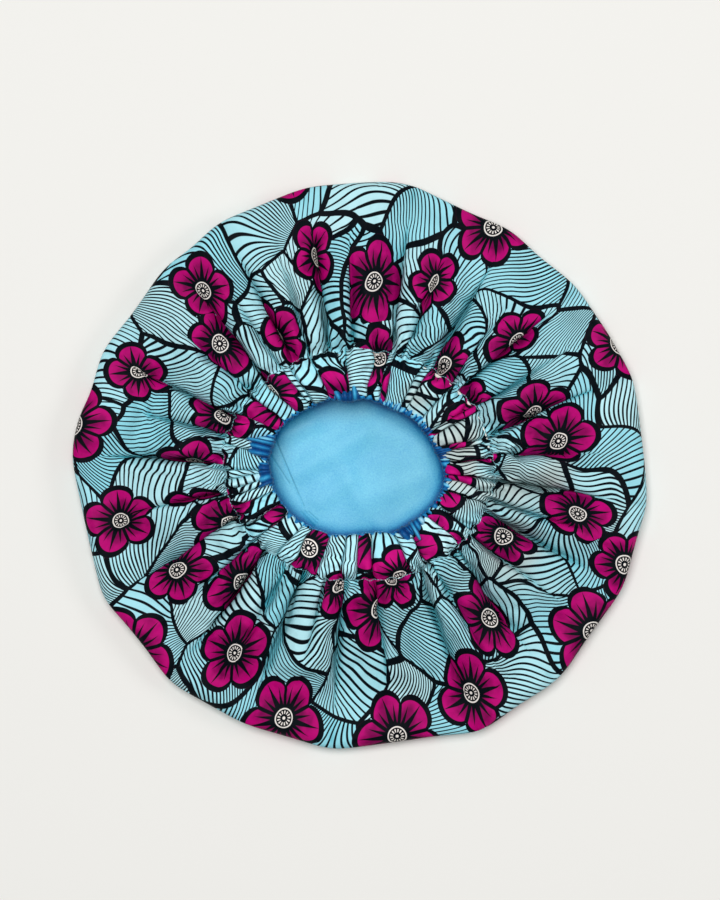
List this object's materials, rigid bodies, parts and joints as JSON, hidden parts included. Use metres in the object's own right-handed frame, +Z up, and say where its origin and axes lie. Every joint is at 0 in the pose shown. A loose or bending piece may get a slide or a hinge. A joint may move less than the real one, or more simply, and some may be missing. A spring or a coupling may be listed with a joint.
{
  "type": "hair bonnet",
  "caption": "Round gathered hair bonnet of printed cotton with a satin lining and an elastic in a stitched casing round its opening, lying flat on its crown.",
  "frame": {"origin": "middle of the bonnet's box, on the surface that the crown lies on", "axes": "+Z up out of the opening, +X to the right and +Y to the back as the bonnet is seen from above"},
  "size_m": [0.3542, 0.349, 0.0364],
  "materials": {
    "printed_cotton": "plain-woven cotton with a magenta, black and aqua print and a slight sheen",
    "blue_satin": "light blue polyester satin, soft directional sheen",
    "white_elastic": "white braided elastic",
    "aqua_thread": "spun polyester sewing thread",
    "blue_thread": "spun polyester sewing thread"
  },
  "bodies": {
    "root": {"printed_cover": "printed_cotton", "satin_lining": "blue_satin", "elastic_band": "white_elastic", "elastic_join_stitching": "aqua_thread", "casing_needle_thread": "aqua_thread", "casing_bobbin_thread": "blue_thread", "rim_seam_stitching": "blue_thread", "rim_gap_stitching": "blue_thread"}
  },
  "joints": []
}
